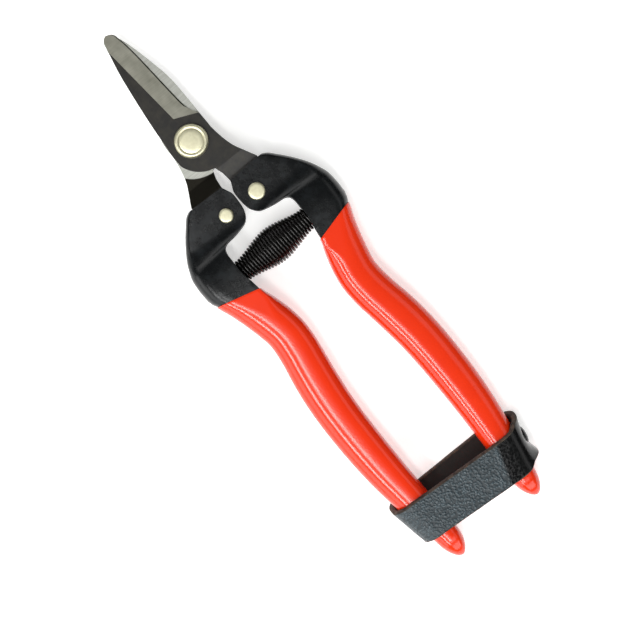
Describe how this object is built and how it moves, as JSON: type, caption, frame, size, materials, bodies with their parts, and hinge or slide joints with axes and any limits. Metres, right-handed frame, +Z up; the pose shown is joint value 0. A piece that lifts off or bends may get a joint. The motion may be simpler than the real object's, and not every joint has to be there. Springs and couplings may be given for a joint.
{
  "type": "floral snips",
  "caption": "Spring-loaded floral snips with short tapered blades, pressed channel handles in vinyl sleeves, and a leather loop that holds the handles shut.",
  "frame": {"origin": "under the middle of the snips, on the surface that they lie on", "axes": "+Y runs from the tails to the blade tips, +Z is up and along the pivot, and the left and right halves mirror each other about X = 0 when shut"},
  "size_m": [0.053, 0.188, 0.0158],
  "materials": {
    "blade_steel": "black oxide with a ground bevel",
    "plated_steel": "satin nickel plate",
    "black_coat": "semi-gloss black coat",
    "red_vinyl": "glossy dipped vinyl",
    "spring_steel": "black oiled wire",
    "strap_leather": "pebbled leather with raw edges"
  },
  "bodies": {
    "right_half": {"upper_blade": "blade_steel", "pivot_bolt": "plated_steel", "pivot_washer": "plated_steel", "pivot_nut": "plated_steel", "right_handle_frame": "black_coat", "right_blade_rivet": "plated_steel", "right_grip_sleeve": "red_vinyl", "right_spring_stud": "plated_steel", "spring": "spring_steel", "strap_rivet": "black_coat"},
    "left_half": {"lower_blade": "blade_steel", "left_handle_frame": "black_coat", "left_blade_rivet": "plated_steel", "left_grip_sleeve": "red_vinyl", "left_spring_stud": "plated_steel"},
    "strap": {"lock_strap": "strap_leather"}
  },
  "joints": [
    {"name": "blade_pivot", "type": "hinge", "parent": "right_half", "child": "left_half", "pos_m": [0, 0.05345, 0.0079], "axis": [0, 0, -1], "range_deg": [0, 22], "deforming": ["spring"]},
    {"name": "strap_swing", "type": "hinge", "parent": "right_half", "child": "strap", "pos_m": [0.0201, -0.07755, 0.0079], "axis": [0, 0, 1], "range_deg": [0, 38.5], "deforming": ["lock_strap"]}
  ],
  "couplings": [
    {"joint": "strap_swing", "follows": "blade_pivot", "ratio": 1.727}
  ]
}
